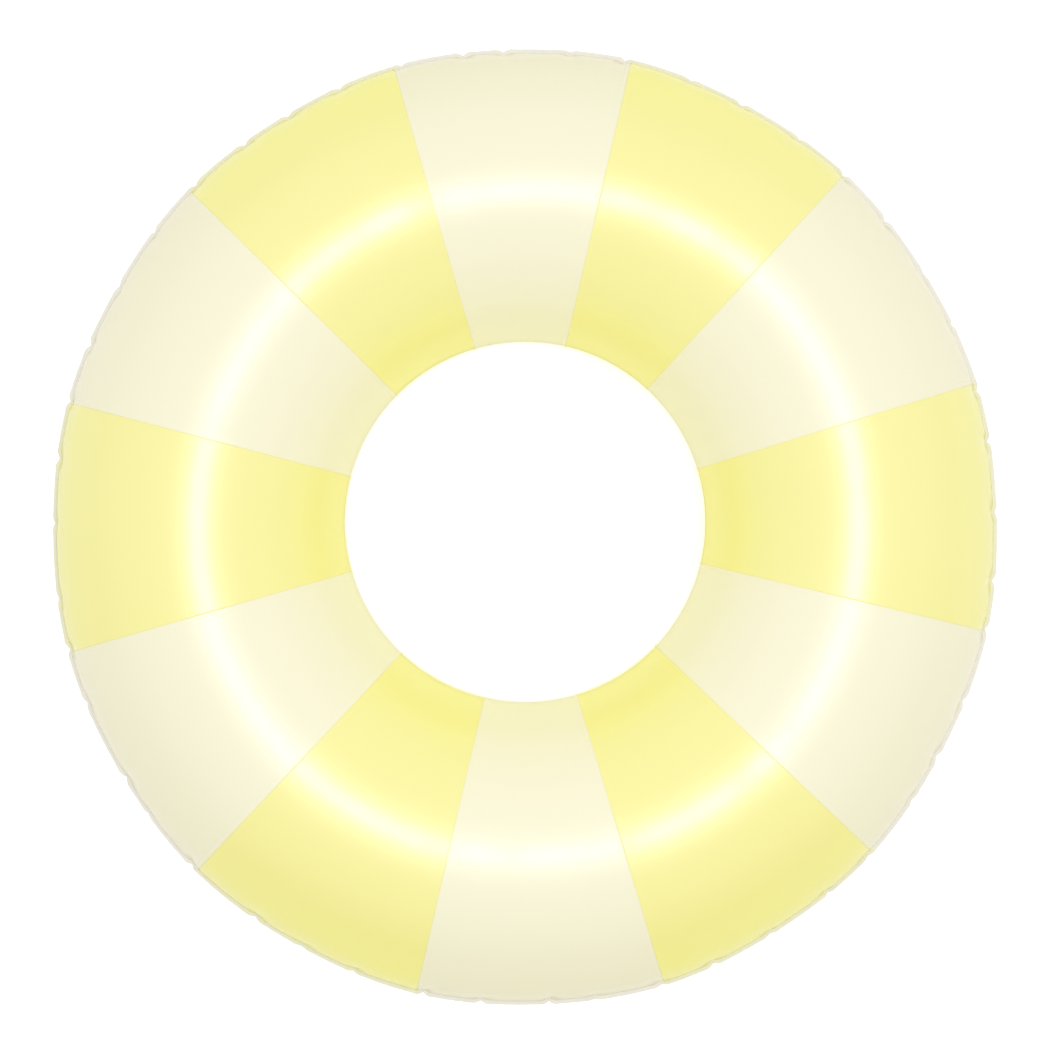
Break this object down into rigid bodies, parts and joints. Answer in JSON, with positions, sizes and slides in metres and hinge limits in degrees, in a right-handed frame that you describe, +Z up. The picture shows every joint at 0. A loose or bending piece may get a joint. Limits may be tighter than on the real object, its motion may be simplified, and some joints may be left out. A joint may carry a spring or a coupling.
{
  "type": "inflatable swim ring",
  "caption": "Round inflatable swim ring of yellow and cream PVC film panels with a welded outer seam and a push-in air valve.",
  "frame": {"origin": "on the ring's axis, at the height of the floor that the inflated ring lies flat on", "axes": "+Z up along the ring's axis; +X and -X through the middles of two yellow panels; +Y and -Y through the middles of two cream panels, the valve being low in the one at -Y"},
  "size_m": [1.2, 1.2, 0.296],
  "materials": {
    "yellow_film": "glossy soft PVC film, pale lemon yellow",
    "cream_film": "glossy soft PVC film, cream",
    "valve_vinyl": "soft moulded PVC, milky and slightly translucent, satin"
  },
  "bodies": {
    "ring": {"upper_yellow_panel_1": "yellow_film", "upper_yellow_panel_2": "yellow_film", "upper_yellow_panel_3": "yellow_film", "upper_yellow_panel_4": "yellow_film", "upper_yellow_panel_5": "yellow_film", "upper_yellow_panel_6": "yellow_film", "upper_cream_panel_1": "cream_film", "upper_cream_panel_2": "cream_film", "upper_cream_panel_3": "cream_film", "upper_cream_panel_4": "cream_film", "upper_cream_panel_5": "cream_film", "upper_cream_panel_6": "cream_film", "lower_yellow_panel_1": "yellow_film", "lower_yellow_panel_2": "yellow_film", "lower_yellow_panel_3": "yellow_film", "lower_yellow_panel_4": "yellow_film", "lower_yellow_panel_5": "yellow_film", "lower_yellow_panel_6": "yellow_film", "lower_cream_panel_1": "cream_film", "lower_cream_panel_2": "cream_film", "lower_cream_panel_3": "cream_film", "lower_cream_panel_4": "cream_film", "lower_cream_panel_5": "cream_film", "lower_cream_panel_6": "cream_film", "valve_base": "valve_vinyl", "valve_bellows": "valve_vinyl"},
    "valve_stem": {"valve_stem": "valve_vinyl", "valve_strap": "valve_vinyl"},
    "valve_cap": {"valve_cap": "valve_vinyl"},
    "valve_flap": {"valve_flap": "valve_vinyl"}
  },
  "joints": [
    {"name": "valve_slide", "type": "slide", "parent": "ring", "child": "valve_stem", "axis": [0, -0.766, -0.6428], "range_m": [0, 0.016], "deforming": ["valve_bellows"]},
    {"name": "cap_hinge", "type": "hinge", "parent": "valve_stem", "child": "valve_cap", "pos_m": [-0.0085, -0.55888, 0.0563], "axis": [0, 0.6428, -0.766], "range_deg": [0, 150], "deforming": ["valve_strap"]},
    {"name": "flap_hinge", "type": "hinge", "parent": "valve_stem", "child": "valve_flap", "pos_m": [-0.0056, -0.54421, 0.06861], "axis": [0, -0.6428, 0.766], "range_deg": [0, 60], "stiffness_Nm_per_rad": 0.0002}
  ]
}
